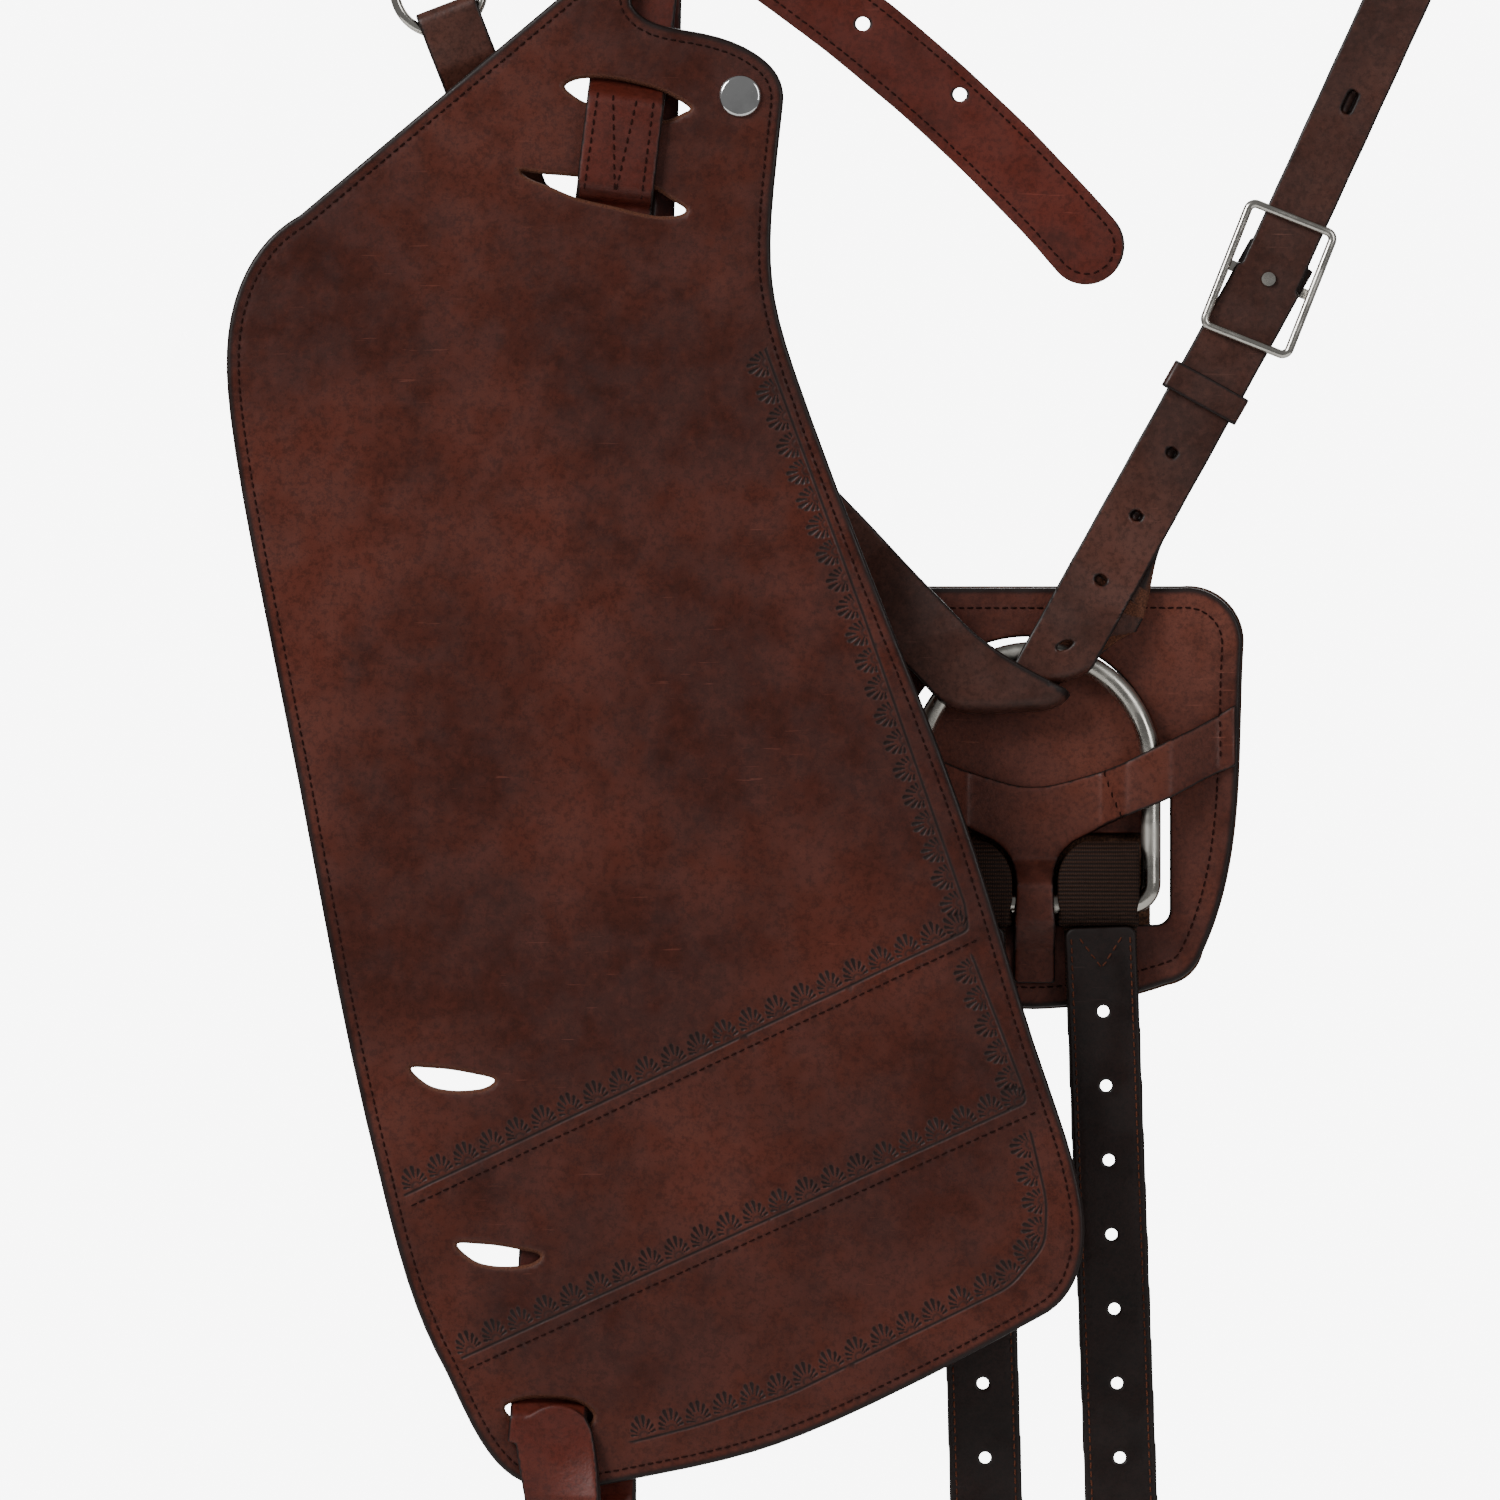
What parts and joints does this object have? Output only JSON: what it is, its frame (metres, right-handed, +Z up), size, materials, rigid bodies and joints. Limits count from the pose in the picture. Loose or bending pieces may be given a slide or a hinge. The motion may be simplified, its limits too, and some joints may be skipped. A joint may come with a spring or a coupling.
{
  "type": "stock saddle fender with stirrup leather and girth rigging",
  "caption": "Near-side tooled leather fender hung on a stirrup leather, with ring-plate girth rigging: two angled straps, a dee ring and a pair of punched billets behind it.",
  "frame": {"origin": "on the saddle tree's side face, midway between the two screws of the stirrup bar", "axes": "+Z up, +X from the horse's head to its tail, -Y away from the horse's near side"},
  "size_m": [0.5306, 0.0536, 0.9173],
  "materials": {
    "stirrup_bar": "forged bar, lightly worn nickel plate",
    "ring_metal": "nickel plated wire, fine scratches",
    "clip_metal": "pressed plated steel",
    "dee_metal": "nickel plated, mottled by handling",
    "buckle_metal": "nickel plated wire",
    "plate_leather": "waxed russet leather, dark burnished edge",
    "suede_backing": "rough flesh side, fuzzy",
    "rigging_leather": "dark chocolate harness leather",
    "billet_leather": "near-black latigo, oiled",
    "webbing": "ribbed dark brown nylon webbing",
    "stirrup_leather": "red-brown leather, stitched edges",
    "fender_leather": "waxed dark brown leather, hand tooled",
    "lining_leather": "rough lining leather",
    "stud_metal": "polished low dome"
  },
  "bodies": {
    "tree_fittings": {"stirrup_bar": "stirrup_bar", "front_ring_clip": "clip_metal", "rear_ring_clip": "clip_metal"},
    "rigging": {"front_ring": "ring_metal", "rear_ring": "ring_metal", "front_strap": "rigging_leather", "rear_strap": "rigging_leather", "strap_buckle_frame": "buckle_metal", "strap_buckle_post": "buckle_metal", "plate_face": "plate_leather", "plate_backing": "suede_backing", "ring_retainer": "plate_leather", "dee_ring": "dee_metal"},
    "keeper": {"strap_keeper": "rigging_leather"},
    "front_billet": {"front_billet_leather": "billet_leather", "front_billet_webbing": "webbing"},
    "rear_billet": {"rear_billet_leather": "billet_leather", "rear_billet_webbing": "webbing"},
    "hanger": {"stirrup_leather_top": "stirrup_leather", "stirrup_buckle_frame": "buckle_metal", "buckle_chape": "stirrup_leather"},
    "tongue": {"stirrup_buckle_tongue": "buckle_metal"},
    "fender": {"fender_skin": "fender_leather", "fender_lining": "lining_leather", "stud_cap": "stud_metal", "stud_post": "stud_metal", "stud_washer": "stud_metal", "stirrup_leather_loop": "stirrup_leather"}
  },
  "joints": [
    {"name": "rigging_swing", "type": "hinge", "parent": "tree_fittings", "child": "rigging", "pos_m": [-0.08796, -0.009, -0.09963], "axis": [0.9931, 0, 0.1172], "range_deg": [0, 10]},
    {"name": "front_billet_swing", "type": "hinge", "parent": "rigging", "child": "front_billet", "pos_m": [0.1352, -0.00535, -0.4979], "axis": [-1, 0, 0], "range_deg": [0, 6]},
    {"name": "rear_billet_swing", "type": "hinge", "parent": "rigging", "child": "rear_billet", "pos_m": [0.188, -0.00535, -0.4979], "axis": [-1, 0, 0], "range_deg": [0, 6]},
    {"name": "keeper_slide", "type": "slide", "parent": "rigging", "child": "keeper", "axis": [-0.4864, 0, -0.8737], "range_m": [-0.002, 0.05]},
    {"name": "leather_swing", "type": "hinge", "parent": "tree_fittings", "child": "hanger", "pos_m": [0, -0.014, 0], "axis": [-1, 0, 0], "range_deg": [0, 75]},
    {"name": "tongue_hinge", "type": "hinge", "parent": "hanger", "child": "tongue", "pos_m": [0, -0.025, -0.0537], "axis": [1, 0, 0], "range_deg": [0, 5]},
    {"name": "fender_fore_aft", "type": "hinge", "parent": "hanger", "child": "fender", "pos_m": [-0.00958, -0.0305, -0.0992], "axis": [0, 1, 0], "range_deg": [-10, 10]}
  ]
}
